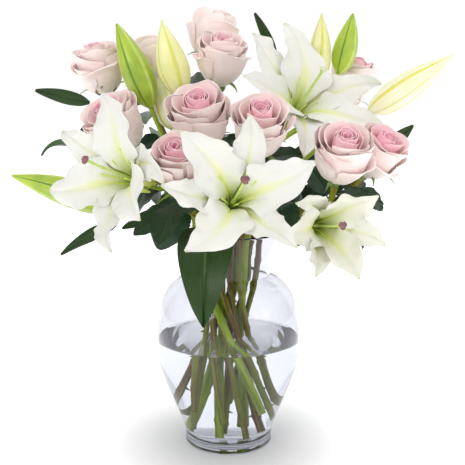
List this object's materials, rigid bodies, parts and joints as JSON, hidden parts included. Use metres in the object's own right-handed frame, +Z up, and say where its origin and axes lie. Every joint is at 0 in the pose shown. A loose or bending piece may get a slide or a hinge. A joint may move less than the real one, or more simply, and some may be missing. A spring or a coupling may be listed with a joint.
{
  "type": "lilies and roses in a vase",
  "caption": "Cut flower arrangement of open white lilies, lily buds and pale pink roses with dark leaves, standing in water in a clear glass urn-shaped vase.",
  "frame": {"origin": "The centre of the underside of the vase's foot, on the surface that it stands on.", "axes": "+Z is up along the vase's axis, and -Y is the side that the arrangement faces, with +X to its viewer's right."},
  "size_m": [0.441, 0.3183, 0.4594],
  "materials": {
    "clear_glass": "clear, polished, with a faint cool tint",
    "water": "clear still water",
    "lily_stem": "smooth green stem, satin",
    "pistil": "pale green, satin",
    "white_tepal": "white petal, soft sheen",
    "green_bud": "yellow-green bud, waxy",
    "pale_bud": "cream bud with yellow ridges, waxy",
    "pink_rose": "blush pink petal, velvety",
    "leaf": "dark green leaf, satin"
  },
  "bodies": {
    "root": {"vase": "clear_glass", "water": "water", "lily_1_stem": "lily_stem", "lily_1_pistil": "pistil", "lily_1_inner_tepal_1": "white_tepal", "lily_1_inner_tepal_2": "white_tepal", "lily_1_inner_tepal_3": "white_tepal", "lily_1_outer_tepal_1": "white_tepal", "lily_1_outer_tepal_2": "white_tepal", "lily_1_outer_tepal_3": "white_tepal", "lily_2_stem": "lily_stem", "lily_2_pistil": "pistil", "lily_2_inner_tepal_1": "white_tepal", "lily_2_inner_tepal_2": "white_tepal", "lily_2_inner_tepal_3": "white_tepal", "lily_2_outer_tepal_1": "white_tepal", "lily_2_outer_tepal_2": "white_tepal", "lily_2_outer_tepal_3": "white_tepal", "lily_3_stem": "lily_stem", "lily_3_pistil": "pistil", "lily_3_inner_tepal_1": "white_tepal", "lily_3_inner_tepal_2": "white_tepal", "lily_3_inner_tepal_3": "white_tepal", "lily_3_outer_tepal_1": "white_tepal", "lily_3_outer_tepal_2": "white_tepal", "lily_3_outer_tepal_3": "white_tepal", "lily_4_stem": "lily_stem", "lily_4_pistil": "pistil", "lily_4_inner_tepal_1": "white_tepal", "lily_4_inner_tepal_2": "white_tepal", "lily_4_inner_tepal_3": "white_tepal", "lily_4_outer_tepal_1": "white_tepal", "lily_4_outer_tepal_2": "white_tepal", "lily_4_outer_tepal_3": "white_tepal", "lily_bud_1": "green_bud", "lily_bud_2": "pale_bud", "lily_bud_3": "pale_bud", "lily_bud_4": "green_bud", "lily_bud_5": "pale_bud", "lily_bud_6": "green_bud", "lily_bud_7": "pale_bud", "rose_1": "pink_rose", "rose_2": "pink_rose", "rose_3": "pink_rose", "rose_4": "pink_rose", "rose_5": "pink_rose", "rose_6": "pink_rose", "rose_7": "pink_rose", "rose_8": "pink_rose", "rose_9": "pink_rose", "rose_10": "pink_rose", "rose_11": "pink_rose", "leaf_1": "leaf", "leaf_2": "leaf", "leaf_3": "leaf", "leaf_4": "leaf", "leaf_5": "leaf", "leaf_6": "leaf", "leaf_7": "leaf", "leaf_8": "leaf"}
  },
  "joints": []
}
